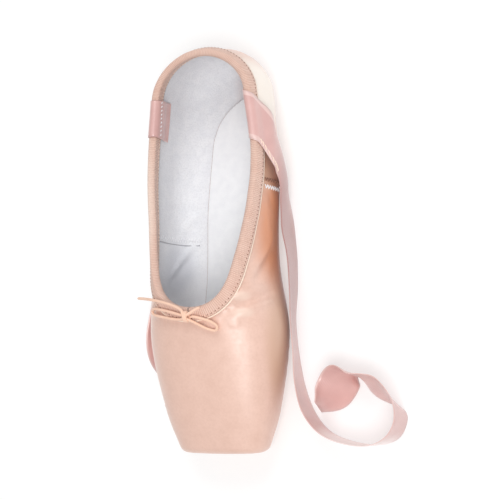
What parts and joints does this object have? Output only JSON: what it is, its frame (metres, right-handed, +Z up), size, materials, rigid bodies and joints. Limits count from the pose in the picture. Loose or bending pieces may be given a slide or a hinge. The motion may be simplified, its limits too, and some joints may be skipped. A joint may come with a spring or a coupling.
{
  "type": "pointe shoe",
  "caption": "Satin pointe shoe with a stiff flat-ended toe box, bound collar, drawstring bow, short leather sole and long loose ribbons.",
  "frame": {"origin": "on the floor, under the middle of the shoe's own box, which leaves out the ribbons and the bow", "axes": "+X to the shoe's right, +Y from the toe platform to the heel, +Z up from the floor that the outsole rests on"},
  "size_m": [0.1585, 0.2356, 0.0628],
  "materials": {
    "satin": "smooth satin over a stiffened box",
    "sole_leather": "matt split leather",
    "sock_cloth": "matt woven cloth",
    "binding_tape": "ribbed tape",
    "drawstring_knot_cord": "soft matt cord",
    "drawstring_loop_left_cord": "soft matt cord",
    "drawstring_loop_right_cord": "soft matt cord",
    "drawstring_end_left_cord": "soft matt cord",
    "drawstring_end_right_cord": "soft matt cord",
    "ribbon_left_satin": "satin",
    "ribbon_right_satin": "satin"
  },
  "bodies": {
    "root": {"upper": "satin", "outsole": "sole_leather", "insole": "sock_cloth", "collar_binding": "binding_tape", "drawstring_knot": "drawstring_knot_cord", "drawstring_loop_left": "drawstring_loop_left_cord", "drawstring_loop_right": "drawstring_loop_right_cord", "drawstring_end_left": "drawstring_end_left_cord", "drawstring_end_right": "drawstring_end_right_cord", "ribbon_left": "ribbon_left_satin", "ribbon_right": "ribbon_right_satin"}
  },
  "joints": []
}
